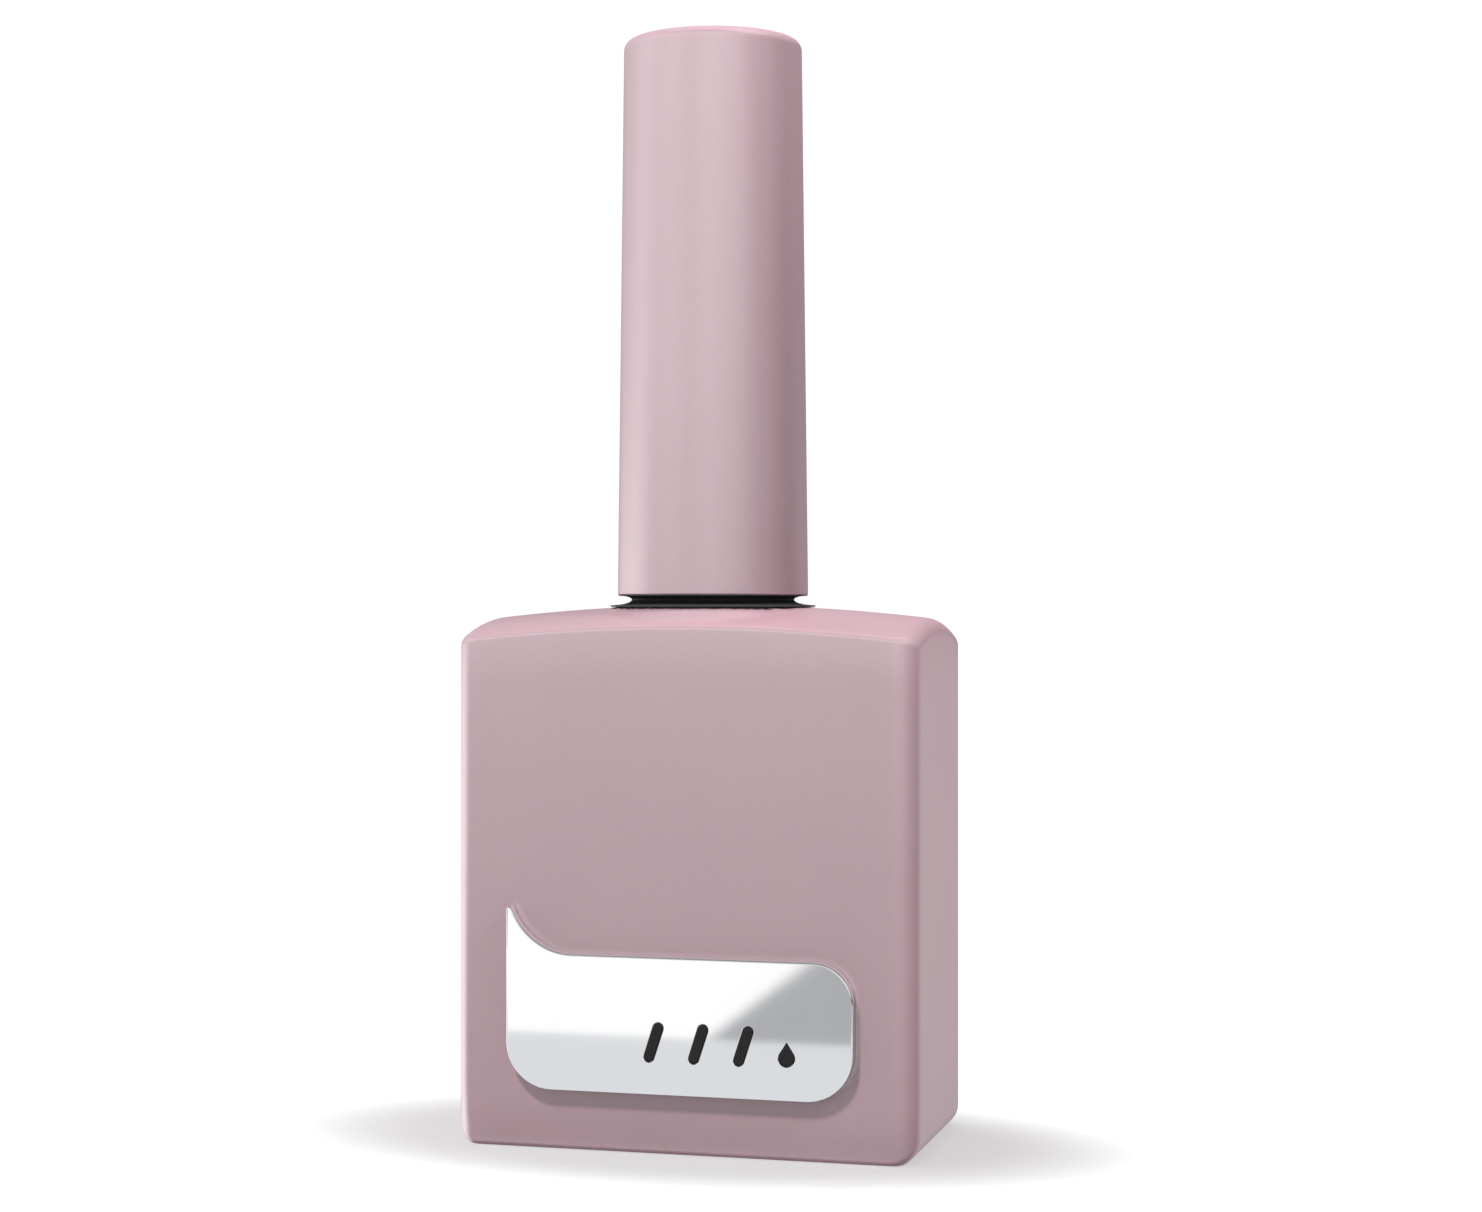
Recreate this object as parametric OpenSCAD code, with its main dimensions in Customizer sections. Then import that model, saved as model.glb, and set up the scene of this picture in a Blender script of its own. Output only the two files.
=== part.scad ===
// Nail polish bottle: coated rectangular glass bottle with a domed shoulder, a screw cap with a
// tall tapered overcap, a brush on a stem, and a pointed name plate low on the front.
// Millimetres. The origin is the centre of the base, +Z is up and the front faces -Y.

/* [Bottle body] */
// Width of the glass, side to side
body_w = 36.4; // [30:0.1:44]
// Depth of the glass, front to back
body_d = 19; // [17:0.5:26]
// Height of the top of the domed shoulder
body_h = 41.6; // [34:0.1:52]
// Radius of the upright corners
corner_r = 2; // [0.8:0.1:2.8]
// Radius where the shoulder turns down into the sides
shoulder_r = 2; // [1:0.1:3]
// Radius where the sides turn under the base
foot_corner_r = 1.8; // [0.8:0.1:2.5]
// Radius of the shoulder's arch, side to side
arch_r = 150; // [110:5:300]
// Radius of the shoulder's crown, front to back
crown_r = 30; // [22:1:80]
// How far the raised seat round the neck falls to meet the crown
seat_fall = 1.4; // [0.6:0.1:2]
// Thickness of the glass walls and shoulder
glass_wall = 2.8; // [2:0.1:3.2]
// Thickness of the glass base
base_t = 4.5; // [3:0.1:7]
// Radius of the cavity's upright corners
cavity_corner_r = 3; // [1:0.1:4]
// Radius of the cavity's lower corners and shoulders
cavity_edge_r = 2; // [1:0.1:3]

/* [Neck] */
// Height of the rim above the shoulder
neck_h = 9.6; // [8:0.1:13]
// Outer radius of the neck below its thread
neck_r = 4.95; // [4.4:0.05:6]
// Thickness of the neck's glass
neck_wall = 1.75; // [1.3:0.05:1.9]
// Height of the glass thread above the neck
thread_h = 0.7; // [0.5:0.05:0.8]
// Rise of the thread in one turn
thread_lead = 2.5; // [2.3:0.1:3]
// Turns of thread on the neck and in the cap
thread_turns = 1.25; // [1:0.05:1.5]
// Distance from the rim down to the thread's upper end
thread_below_rim = 1.6; // [1.2:0.1:2.4]

/* [Base label] */
// Radius of the recess under the base
recess_r = 6; // [4:0.1:6.8]
// Depth of the recess under the base
recess_depth = 0.3; // [0.2:0.05:0.6]
// Radius of the sticker
label_r = 5.7; // [3:0.1:5.8]
// Thickness of the sticker
label_t = 0.1; // [0.05:0.01:0.15]

/* [Name plate] */
// Width of the plate
plate_w = 27.2; // [22:0.2:27.4]
// Height of the plate at its straight edges
plate_h = 10.45; // [8:0.05:13]
// Height of the plate's lower edge above the base
plate_z = 4.63; // [3:0.01:8]
// Thickness of the metal
plate_t = 0.85; // [0.6:0.05:0.85]
// Radius of the two lower corners
plate_low_r = 3.6; // [2:0.1:4]
// Radius of the upper right corner
plate_top_r = 3.1; // [2:0.1:4]
// Height of the point above the plate's upper edge
point_h = 3.5; // [2:0.1:4.5]
// Radius of the hollow curve that runs up to the point
point_curve_r = 5.2; // [4.6:0.1:8]
// Radius of the point's tip
point_tip_r = 0.25; // [0.15:0.05:0.4]
// Thickness of the adhesive pad
adhesive_t = 0.1; // [0.05:0.01:0.12]
// Distance from the plate's edge in to the pad's edge
adhesive_inset = 0.8; // [0.4:0.1:1.5]

/* [Plate marks] */
// Height of the three slanting strokes
stroke_h = 3.1; // [2:0.1:4]
// Width of a stroke
stroke_w = 0.8; // [0.5:0.05:1]
// Distance from one stroke to the next
stroke_pitch = 3.5; // [2.5:0.1:3.8]
// Slant of the strokes
stroke_slant = 18; // [0:1:25]
// Radius of the drop's round end
drop_r = 0.62; // [0.4:0.02:0.8]
// Depth of the enamel in the metal
enamel_depth = 0.15; // [0.1:0.01:0.25]

/* [Cap] */
// Height of the overcap
overcap_h = 43.6; // [34:0.1:52]
// How much smaller the overcap's radius is at its top than at its foot
overcap_draw = 0.5; // [0.2:0.05:0.7]
// Wall of the overcap
overcap_wall = 0.85; // [0.6:0.05:1.1]
// Thickness of the overcap's top
overcap_top_t = 1.2; // [0.8:0.1:2]
// Radius of the overcap's upper edge
overcap_edge_r = 0.8; // [0.2:0.05:0.9]
// Height of the black collar under the overcap
collar_h = 0.75; // [0.7:0.05:1.2]
// Wall of the inner cap at the collar's waist
waist_wall = 0.6; // [0.5:0.05:0.8]
// How far the collar's foot spreads past the overcap
foot_spread = 0.6; // [0.1:0.05:0.8]
// How far the collar's foot reaches down at its rim, to follow the shoulder
foot_droop = 0.2; // [0:0.01:0.2]
// Thickness of the collar's upper and lower lips
lip_t = 0.1; // [0.08:0.01:0.15]
// Wall of the inner cap outside its thread
skirt_wall = 0.55; // [0.5:0.05:0.9]
// Thickness of the inner cap's roof
roof_t = 1; // [0.8:0.1:1.5]
// Number of ribs that grip the overcap
rib_count = 12; // [8:1:16]
// Height of the tube that holds the stem, above the roof
socket_h = 7; // [5:0.1:10]

/* [Seal and brush] */
// Thickness of the seal liner
liner_t = 1; // [0.8:0.1:1.5]
// Radius of the stem at the cap
stem_top_r = 1.75; // [1.6:0.05:1.9]
// Radius of the stem at the bristles
stem_tip_r = 1.55; // [1.5:0.05:1.7]
// Length of the bristles below the stem
bristle_l = 10.5; // [8:0.1:13]
// Width of the tuft at its widest
tuft_w = 4.2; // [3:0.1:4.6]
// Thickness of the tuft
tuft_t = 1.5; // [1:0.1:1.8]
// Distance from the bristles' tip to the cavity's floor
tip_gap = 1.1; // [0.8:0.1:3]

/* [Contents] */
// Air above the gel, up to the underside of the shoulder
headspace = 9.3; // [4:0.1:18]
// Radius of the mixing balls
ball_r = 2; // [1.5:0.1:2.2]
// Distance of each mixing ball from the middle at rest
ball_x = 9; // [8:0.1:9.5]

/* [Hidden] */
$fn = 96;

// Clearances
collar_gap = 0.05;     // shoulder to the collar's foot
thread_gap_r = 0.15;   // neck's thread crest to the inner cap's wall
crest_gap_r = 0.2;     // inner cap's thread crest to the neck's wall
thread_play = 0.12;    // between thread flanks with the cap screwed down
fit_gap = 0.02;        // ribs and fins to the overcap's bore
liner_gap = 0.05;      // liner's edge inside the neck's outer wall
stem_gap = 0.05;       // stem in its tube, and bristles in the stem
liner_hole_gap = 0.25; // stem to the liner's hole
brush_gap = 0.4;       // brush to the channel that it stands in
ball_gap = 0.15;       // ball to the tunnel that it rolls in
ball_lift = 0.05;      // ball to the glass floor
top_gap = 1;           // fins to the overcap's top

// Heights
fill_z = body_h - glass_wall - headspace;
rim_z = body_h + neck_h;
foot_z = body_h + collar_gap;
overcap_z = foot_z + collar_h;
roof_z = rim_z + liner_t;
tip_z = base_t + tip_gap;
stem_end_z = tip_z + bristle_l;
socket_top_z = roof_z + roof_t + socket_h;
fin_top_z = overcap_z + overcap_h - overcap_top_t - top_gap;

// Thread: the ridges are trapezoids sunk a little into the walls that they grow from
thread_sink = 0.3;
thread_base_w = 1.6;
thread_crest_w = 0.7;
cap_thread_base_w = 1.4;
cap_thread_crest_w = 0.6;
thread_steps = 24;
thread_runout = 20;
thread_z = rim_z - thread_below_rim - thread_lead * thread_turns;
neck_crest_r = neck_r + thread_h;
cap_root_r = neck_crest_r + thread_gap_r;
cap_crest_r = neck_r + crest_gap_r;
neck_flank_w = thread_base_w - (thread_base_w - thread_crest_w)
    * (cap_crest_r - neck_r + thread_sink) / (thread_h + thread_sink);
cap_thread_z = thread_z - (neck_flank_w + cap_thread_crest_w) / 2 - thread_play;

// Radii outwards from the neck: bore, waisted collar, ribs, overcap
bore_r = neck_r - neck_wall;
rib_h = 0.3;
rib_w = 0.8;
waist_r = cap_root_r + waist_wall;
overcap_foot_r = cap_root_r + skirt_wall + rib_h + overcap_wall;
overcap_top_r = overcap_foot_r - overcap_draw;
foot_r = overcap_foot_r + foot_spread;
// The seat under the collar's foot: its shelf, and where its flank meets the shoulder
seat_r = foot_r - 0.15;
seat_foot_r = min(seat_r + 1.1, body_d / 2 - 0.45);

// Overcap's taper, and the fins and tube inside it
overcap_taper = overcap_draw / overcap_h;
fin_t = 1;
tube_wall = 1.2;
socket_r = stem_top_r + stem_gap;

// Brush
bristle_socket_r = 1.1;
bristle_socket_h = 7;
bristle_root_h = 4.4;
tuft_neck_w = 2;
anchor = [1.9, 0.35, 2.2];

// Plate and its marks
front_y = -body_d / 2;
plate_back_y = front_y - adhesive_t;
plate_front_y = plate_back_y - plate_t;
stroke_mid_x = 1.7;
stroke_mid_z = plate_z + 4;
drop_x = stroke_mid_x + 1.95 * stroke_pitch;
drop_z = stroke_mid_z - stroke_h / 2 + drop_r + 0.15;

// Radius of the overcap's bore at height z
function overcap_bore_r(z) =
    overcap_foot_r - overcap_wall - overcap_taper * (z - overcap_z);

// Fall of an arc of radius r at a distance x from its top
function arc_fall(x, r) = r - sqrt(r * r - x * x);

// Rounded rectangle with four equal corners
module round_rect(w, d, r) {
    square([w - 2 * r, d], center = true);
    square([w, d - 2 * r], center = true);
    for (sx = [-1, 1], sy = [-1, 1])
        translate([sx * (w / 2 - r), sy * (d / 2 - r)]) circle(r = r);
}

// The square corner that a radius takes off, with its round towards the lower left
module corner_cut(r, reach) {
    difference() {
        square([r + 1, r + reach]);
        circle(r = r);
    }
}

// Front view of a glass form, with round lower corners and round shoulders
module front_outline(w, z0, z1, arch, top_r, low_r) {
    top_lift = 0.05;
    top_z = z1 - arc_fall(w / 2 - top_r, arch) - top_r + top_lift;
    difference() {
        translate([-w / 2, z0]) square([w, z1 - z0]);
        for (side = [0, 1]) mirror([side, 0]) {
            translate([w / 2 - top_r, top_z]) corner_cut(top_r, z1 - z0);
            translate([w / 2 - low_r, z0 + low_r]) mirror([0, 1]) corner_cut(low_r, 1);
        }
    }
}

// Solid under the shoulder: an arch side to side, crowned front to back
module shoulder_dome(w, d, z0, z1, arch, crown) {
    inner_r = arch - (z1 - z0) - 2;
    half_angle = asin((w / 2 + 2) / inner_r);
    translate([0, 0, z1 - arch])
        rotate([90, 0, 0])
            rotate([0, 0, 90 - half_angle])
                rotate_extrude(angle = 2 * half_angle, $fn = 720)
                    intersection() {
                        translate([arch - crown, 0]) circle(r = crown, $fn = 192);
                        translate([inner_r, -d]) square([arch, 2 * d]);
                    }
}

// Glass form: an upright block with round corners under a domed shoulder
module glass_form(w, d, z0, z1, arch, crown, upright_r, top_r, low_r) {
    intersection() {
        translate([0, 0, z0]) linear_extrude(z1 - z0) round_rect(w, d, upright_r);
        rotate([90, 0, 0])
            linear_extrude(d + 2, center = true)
                front_outline(w, z0, z1, arch, top_r, low_r);
        shoulder_dome(w, d, z0, z1, arch, crown);
    }
}

// Raised seat round the neck: a shelf a constant gap under the collar's foot, and a sloping flank
module neck_seat() {
    shelf_drop = foot_droop * (seat_r - cap_root_r) / (foot_r - cap_root_r);
    rotate_extrude()
        polygon([
            [0, body_h - 2], [seat_foot_r, body_h - 2], [seat_foot_r, body_h - seat_fall],
            [seat_r, body_h - shelf_drop], [cap_root_r, body_h], [0, body_h]
        ]);
}

module cavity_form() {
    glass_form(
        body_w - 2 * glass_wall, body_d - 2 * glass_wall, base_t, body_h - glass_wall,
        arch_r - glass_wall, crown_r - glass_wall, cavity_corner_r, cavity_edge_r, cavity_edge_r
    );
}

// Helical ridge from base_r to crest_r, with its height run out at both ends
module helical_ridge(base_r, base_w, crest_r, crest_w) {
    steps = ceil(thread_turns * thread_steps);
    sweep = 360 * thread_turns;
    function run(a) = min(1, 0.3 + 0.7 * min(a, sweep - a) / thread_runout);
    function section(a) =
        let (
            base = [base_r, base_w],
            crest = [base_r + (crest_r - base_r) * run(a), crest_w],
            low = base_r < crest_r ? base : crest,
            high = base_r < crest_r ? crest : base
        )
        [[low.x, -low.y / 2], [high.x, -high.y / 2], [high.x, high.y / 2], [low.x, low.y / 2]];
    points = [
        for (i = [0:steps])
            let (a = sweep * i / steps)
                for (p = section(a))
                    [p.x * cos(a), p.x * sin(a), p.y + thread_lead * a / 360]
    ];
    sides = [
        for (i = [0:steps - 1], j = [0:3])
            let (a = 4 * i + j, b = 4 * i + (j + 1) % 4)
                each [[a, b, b + 4], [a, b + 4, a + 4]]
    ];
    last = 4 * steps;
    ends = [[2, 1, 0], [3, 2, 0], [last, last + 1, last + 2], [last, last + 2, last + 3]];
    polyhedron(points = points, faces = concat(sides, ends));
}

module glass_bottle() {
    color([0.78, 0.68, 0.72])
        difference() {
            union() {
                glass_form(
                    body_w, body_d, 0, body_h, arch_r, crown_r, corner_r, shoulder_r, foot_corner_r
                );
                neck_seat();
                translate([0, 0, body_h - glass_wall / 2])
                    cylinder(h = neck_h + glass_wall / 2, r = neck_r);
                translate([0, 0, thread_z])
                    helical_ridge(neck_r - thread_sink, thread_base_w, neck_crest_r, thread_crest_w);
            }
            cavity_form();
            translate([0, 0, body_h - glass_wall - 2])
                cylinder(h = neck_h + glass_wall + 3, r = bore_r);
            translate([0, 0, -1]) cylinder(h = recess_depth + 1, r = recess_r);
        }
}

// Contents up to the fill height, with room for the brush and for the mixing balls' travel
module gel_polish() {
    tunnel_r = ball_r + ball_gap;
    tunnel_l = body_w - 2 * glass_wall - 1;
    channel_r = norm([tuft_w, tuft_t]) / 2 + brush_gap;
    color([0.86, 0.62, 0.68])
        difference() {
            intersection() {
                cavity_form();
                translate([-body_w, -body_d, 0]) cube([2 * body_w, 2 * body_d, fill_z]);
            }
            translate([0, 0, tip_z - brush_gap]) cylinder(h = fill_z, r = channel_r);
            translate([0, 0, base_t + ball_r + ball_lift])
                rotate([0, 90, 0]) cylinder(h = tunnel_l, r = tunnel_r, center = true);
        }
}

module mixing_ball(side) {
    color([0.75, 0.76, 0.78])
        translate([side * ball_x, 0, base_t + ball_r + ball_lift]) sphere(r = ball_r, $fn = 48);
}

module base_label() {
    color([0.95, 0.95, 0.94])
        translate([0, 0, recess_depth - label_t]) cylinder(h = label_t, r = label_r);
}

// Front view of the plate: round corners, and a point at its upper left that a hollow curve runs up to
module plate_outline() {
    left = -plate_w / 2;
    right = plate_w / 2;
    top = plate_z + plate_h;
    tip_centre_z = top + point_h - point_tip_r;
    curve_rise = point_curve_r - (tip_centre_z - top);
    curve_run = sqrt(pow(point_curve_r, 2) - pow(curve_rise, 2));
    curve_x = round(100 * (left + 2 * point_tip_r + curve_run)) / 100 + 0.02;
    difference() {
        translate([left, plate_z]) square([plate_w, tip_centre_z - plate_z]);
        translate([curve_x, top]) square([right - curve_x + 1, point_h + 1]);
        translate([curve_x, top + point_curve_r])
            intersection() {
                circle(r = point_curve_r);
                translate([-point_curve_r - 1, -point_curve_r - 1])
                    square([point_curve_r + 1, point_h + 2]);
            }
        translate([right - plate_top_r, top - plate_top_r]) corner_cut(plate_top_r, 1);
        for (side = [0, 1]) mirror([side, 0])
            translate([right - plate_low_r, plate_z + plate_low_r])
                mirror([0, 1]) corner_cut(plate_low_r, 1);
    }
    translate([left + point_tip_r, tip_centre_z]) circle(r = point_tip_r);
}

module on_front(y, t) {
    translate([0, y, 0]) rotate([90, 0, 0]) linear_extrude(t) children();
}

module strokes_outline() {
    for (i = [-1:1])
        translate([stroke_mid_x + i * stroke_pitch, stroke_mid_z])
            rotate(-stroke_slant) {
                square([stroke_w, stroke_h - stroke_w], center = true);
                for (end = [-1, 1])
                    translate([0, end * (stroke_h - stroke_w) / 2]) circle(d = stroke_w);
            }
}

module drop_outline() {
    translate([drop_x, drop_z]) {
        circle(r = drop_r);
        polygon([[-0.866 * drop_r, 0.5 * drop_r], [0.866 * drop_r, 0.5 * drop_r], [0, 2 * drop_r]]);
    }
}

module name_plate() {
    color([0.88, 0.88, 0.9])
        difference() {
            on_front(plate_back_y, plate_t) plate_outline();
            on_front(plate_front_y + enamel_depth, enamel_depth + 1) {
                strokes_outline();
                drop_outline();
            }
        }
}

module plate_adhesive() {
    inset = adhesive_inset;
    color([0.9, 0.9, 0.9])
        on_front(front_y, adhesive_t)
            translate([0, plate_z + plate_h / 2])
                round_rect(plate_w - 2 * inset, plate_h - 2 * inset, plate_low_r - inset);
}

module mark_strokes() {
    color([0.15, 0.15, 0.16]) on_front(plate_front_y + enamel_depth, enamel_depth) strokes_outline();
}

module mark_drop() {
    color([0.15, 0.15, 0.16]) on_front(plate_front_y + enamel_depth, enamel_depth) drop_outline();
}

// Half section of the overcap's outside: a straight taper with a rounded upper edge
module overcap_section() {
    edge_x = overcap_top_r + overcap_taper * overcap_edge_r - overcap_edge_r * norm([1, overcap_taper]);
    edge_y = overcap_h - overcap_edge_r;
    tangent = overcap_edge_r / norm([1, overcap_taper]);
    polygon([
        [0, 0], [overcap_foot_r, 0],
        [edge_x + tangent, edge_y + tangent * overcap_taper],
        [edge_x, edge_y], [edge_x, overcap_h], [0, overcap_h]
    ]);
    translate([edge_x, edge_y]) circle(r = overcap_edge_r);
}

module overcap() {
    hollow_h = overcap_h - overcap_top_t;
    color([0.8, 0.74, 0.77])
        translate([0, 0, overcap_z])
            difference() {
                rotate_extrude() overcap_section();
                translate([0, 0, -1])
                    cylinder(
                        h = hollow_h + 1,
                        r1 = overcap_bore_r(overcap_z - 1),
                        r2 = overcap_bore_r(overcap_z + hollow_h)
                    );
            }
}

// Half section of the inner cap: waisted collar, threaded skirt, roof and the tube for the stem
module inner_cap_section() {
    skirt_top = roof_z + roof_t;
    groove_h = collar_h - 2 * lip_t;
    difference() {
        translate([0, foot_z]) square([foot_r, collar_h]);
        translate([waist_r + groove_h / 2, foot_z + collar_h / 2]) circle(d = groove_h);
        translate([waist_r + groove_h / 2, foot_z + lip_t]) square([foot_r, groove_h]);
        translate([overcap_foot_r, foot_z + collar_h / 2]) square([foot_r, collar_h]);
    }
    polygon([
        [cap_root_r, foot_z], [foot_r, foot_z - foot_droop],
        [foot_r, foot_z + lip_t], [cap_root_r, foot_z + lip_t]
    ]);
    polygon([
        [0, overcap_z], [overcap_bore_r(overcap_z) - rib_h, overcap_z],
        [overcap_bore_r(skirt_top) - rib_h, skirt_top], [0, skirt_top]
    ]);
    translate([0, skirt_top - roof_t]) square([socket_r + tube_wall, roof_t + socket_h + 1]);
}

module inner_cap() {
    skirt_top = roof_z + roof_t;
    fin_foot_z = skirt_top - roof_t / 2;
    color([0.15, 0.15, 0.16]) {
        difference() {
            union() {
                rotate_extrude() inner_cap_section();
                for (i = [0:rib_count - 1]) rotate([0, 0, 360 * i / rib_count])
                    rotate([90, 0, 0]) linear_extrude(rib_w, center = true)
                        polygon([
                            [cap_root_r + 0.2, overcap_z],
                            [overcap_bore_r(overcap_z) - fit_gap, overcap_z],
                            [overcap_bore_r(skirt_top) - fit_gap, skirt_top],
                            [cap_root_r + 0.2, skirt_top]
                        ]);
                for (turn = [0, 90]) rotate([0, 0, turn])
                    rotate([90, 0, 0]) linear_extrude(fin_t, center = true)
                        polygon([
                            for (s = [-1, 1], z = s < 0 ? [fin_top_z, fin_foot_z] : [fin_foot_z, fin_top_z])
                                [s * (overcap_bore_r(z) - 3 * fit_gap), z]
                        ]);
            }
            translate([0, 0, foot_z - 1]) cylinder(h = roof_z - foot_z + 1, r = cap_root_r);
            translate([0, 0, roof_z - 1]) cylinder(h = socket_top_z - roof_z + 1, r = socket_r);
        }
        translate([0, 0, cap_thread_z])
            helical_ridge(cap_root_r + thread_sink, cap_thread_base_w, cap_crest_r, cap_thread_crest_w);
    }
}

module seal_liner() {
    color([0.93, 0.93, 0.91])
        translate([0, 0, rim_z])
            difference() {
                cylinder(h = liner_t, r = neck_r - liner_gap);
                translate([0, 0, -1]) cylinder(h = liner_t + 2, r = stem_top_r + liner_hole_gap);
            }
}

module brush_stem() {
    plug_top_z = socket_top_z - 0.2;
    color([0.15, 0.15, 0.16])
        difference() {
            union() {
                translate([0, 0, stem_end_z])
                    cylinder(h = roof_z - stem_end_z, r1 = stem_tip_r, r2 = stem_top_r);
                translate([0, 0, roof_z]) cylinder(h = plug_top_z - roof_z, r = stem_top_r);
            }
            translate([0, 0, stem_end_z - 1]) cylinder(h = bristle_socket_h + 1, r = bristle_socket_r);
        }
}

module tuft_anchor() {
    color([0.8, 0.78, 0.7])
        translate([-anchor.x / 2, -anchor.y / 2, stem_end_z + bristle_root_h]) cube(anchor);
}

// Flat tuft with a round end, and its bound root inside the stem
module bristles() {
    shoulder_z = stem_end_z - stem_gap;
    wide_z = stem_end_z - bristle_l / 2;
    end_z = tip_z + tuft_w / 2;
    color([0.25, 0.2, 0.18]) {
        rotate([90, 0, 0]) linear_extrude(tuft_t, center = true) {
            polygon([
                [-tuft_neck_w / 2, shoulder_z], [-tuft_w / 2, wide_z], [-tuft_w / 2, end_z],
                [tuft_w / 2, end_z], [tuft_w / 2, wide_z], [tuft_neck_w / 2, shoulder_z]
            ]);
            translate([0, end_z]) circle(d = tuft_w);
        }
        translate([0, 0, shoulder_z - 0.5])
            cylinder(h = bristle_root_h + 0.5 + stem_gap, r = bristle_socket_r - stem_gap);
    }
}

glass_bottle();
gel_polish();
mixing_ball(-1);  // mixing_ball_left
mixing_ball(1);  // mixing_ball_right
base_label();
name_plate();
plate_adhesive();
mark_strokes();
mark_drop();
overcap();
inner_cap();
seal_liner();
brush_stem();
tuft_anchor();
bristles();
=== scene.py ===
import math
import random

import bmesh
import bpy
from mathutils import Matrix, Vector, geometry, noise

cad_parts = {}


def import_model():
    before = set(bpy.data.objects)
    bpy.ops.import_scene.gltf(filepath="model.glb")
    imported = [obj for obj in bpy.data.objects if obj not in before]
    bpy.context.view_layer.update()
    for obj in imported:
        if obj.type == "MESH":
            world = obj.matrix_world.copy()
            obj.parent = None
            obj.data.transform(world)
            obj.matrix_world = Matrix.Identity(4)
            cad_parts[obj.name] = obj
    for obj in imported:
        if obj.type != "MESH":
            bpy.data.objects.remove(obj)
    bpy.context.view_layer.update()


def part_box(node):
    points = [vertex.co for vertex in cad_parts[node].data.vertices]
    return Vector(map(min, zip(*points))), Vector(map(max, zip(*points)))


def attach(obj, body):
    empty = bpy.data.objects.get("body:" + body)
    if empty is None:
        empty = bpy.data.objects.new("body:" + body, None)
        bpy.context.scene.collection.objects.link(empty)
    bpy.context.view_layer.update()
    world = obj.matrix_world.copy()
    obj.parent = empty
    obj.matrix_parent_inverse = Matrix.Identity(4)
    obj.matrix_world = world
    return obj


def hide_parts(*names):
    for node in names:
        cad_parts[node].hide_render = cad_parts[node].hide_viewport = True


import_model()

# Shapes are worked out in millimetres and made in metres. The front of the bottle faces -Y.
MM = 0.001
TURN = 2 * math.pi

# Bottle body
CORNER_R = 2
FRONT_EDGE_R = 0.45
SIDE_EDGE_R = 1.4
FRONT_FOOT_R = 0.4
SIDE_FOOT_R = 1.8
ARCH_R = 150
CROWN_R = 30
GLASS_WALL = 2.8
BASE_T = 4.5
CAVITY_CORNER_R = 3
CAVITY_EDGE_R = 2
RECESS_R = 6
RECESS_DEPTH = 0.3

# Neck and thread
NECK_HEIGHT = 9.6
NECK_R = 4.95
NECK_ROOT_R = 0.5
BORE_R = 3.2
MOUTH_ROUND = 0.9
RIM_ROUND = 0.55
THREAD_LEAD = 2.5
THREAD_SWEEP = 1.25 * TURN
THREAD_RUNOUT = TURN / 18
THREAD_BELOW_RIM = 1.6
THREAD_HEIGHT = 0.7
THREAD_FOOT_W = 1.33
THREAD_CREST_W = 0.7

# Name plate
PLATE_LOW_R = 3.6
PLATE_TOP_R = 3.1
POINT_H = 3.5
POINT_CURVE_R = 5.2
POINT_TIP_R = 0.25
PLATE_BEVEL = 0.18
ENAMEL_DEPTH = 0.15
POCKET_BEVEL = 0.08
STROKE_H = 3.1
STROKE_W = 0.8
STROKE_PITCH = 3.5
STROKE_SLANT = math.radians(18)
STROKE_MID_X = 1.7
STROKE_MID_UP = 4
DROP_R = 0.62

# Cap
OVERCAP_WALL = 0.85
OVERCAP_TOP_T = 1.2
OVERCAP_EDGE_R = 0.8
OVERCAP_DRAW = 0.5
WAIST_R = 6.4
LIP_T = 0.08
FOOT_DROOP = 0.2
SEAT_R = 7.9
SEAT_DROP = 0.2
SEAT_SLOPE = 1.15
SEAT_BLEND = 0.12
SEAT_SOFTNESS = 0.03
CAP_ROOT_R = 5.8
CAP_CREST_R = 5.15
CAP_THREAD_FOOT_W = 1.15
CAP_THREAD_CREST_W = 0.6
CAP_THREAD_DROP = 0.995
RIB_COUNT = 12
RIB_H = 0.3
RIB_W = 0.8
TUBE_R = 3
SOCKET_R = 1.8
SOCKET_H = 7
FIN_T = 1

# Brush
STEM_TIP_R = 1.55
BRISTLE_SOCKET_R = 1.1
BRISTLE_SOCKET_H = 7
FILAMENT_R = 0.06
FILAMENT_SIDES = 5

# Steps round a quarter of the bottle: half the right side, a corner, half the back
SIDE_STEPS = 8
CORNER_STEPS = 12
FRONT_STEPS = 16
QUARTER = SIDE_STEPS + CORNER_STEPS + FRONT_STEPS
ROUND_STEPS = 4 * QUARTER


def extent(node):
    """Lowest and highest corner of a CAD node, in millimetres."""
    low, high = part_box(node)
    return low / MM, high / MM


BOTTLE = extent("glass_bottle")
BODY_W = BOTTLE[1].x - BOTTLE[0].x
BODY_D = BOTTLE[1].y - BOTTLE[0].y
RIM_Z = BOTTLE[1].z
SHOULDER_Z = RIM_Z - NECK_HEIGHT
FILL_Z = extent("gel_polish")[1].z


def lerp(a, b, t):
    return a + (b - a) * t


def ease(t):
    """Smooth step from 0 to 1."""
    t = min(1, max(0, t))
    return t * t * (3 - 2 * t)


# Mesh making


def into_scene(name, data):
    """A new object, linked into the scene."""
    made = bpy.data.objects.new(name, data)
    bpy.context.scene.collection.objects.link(made)
    return made


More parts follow.
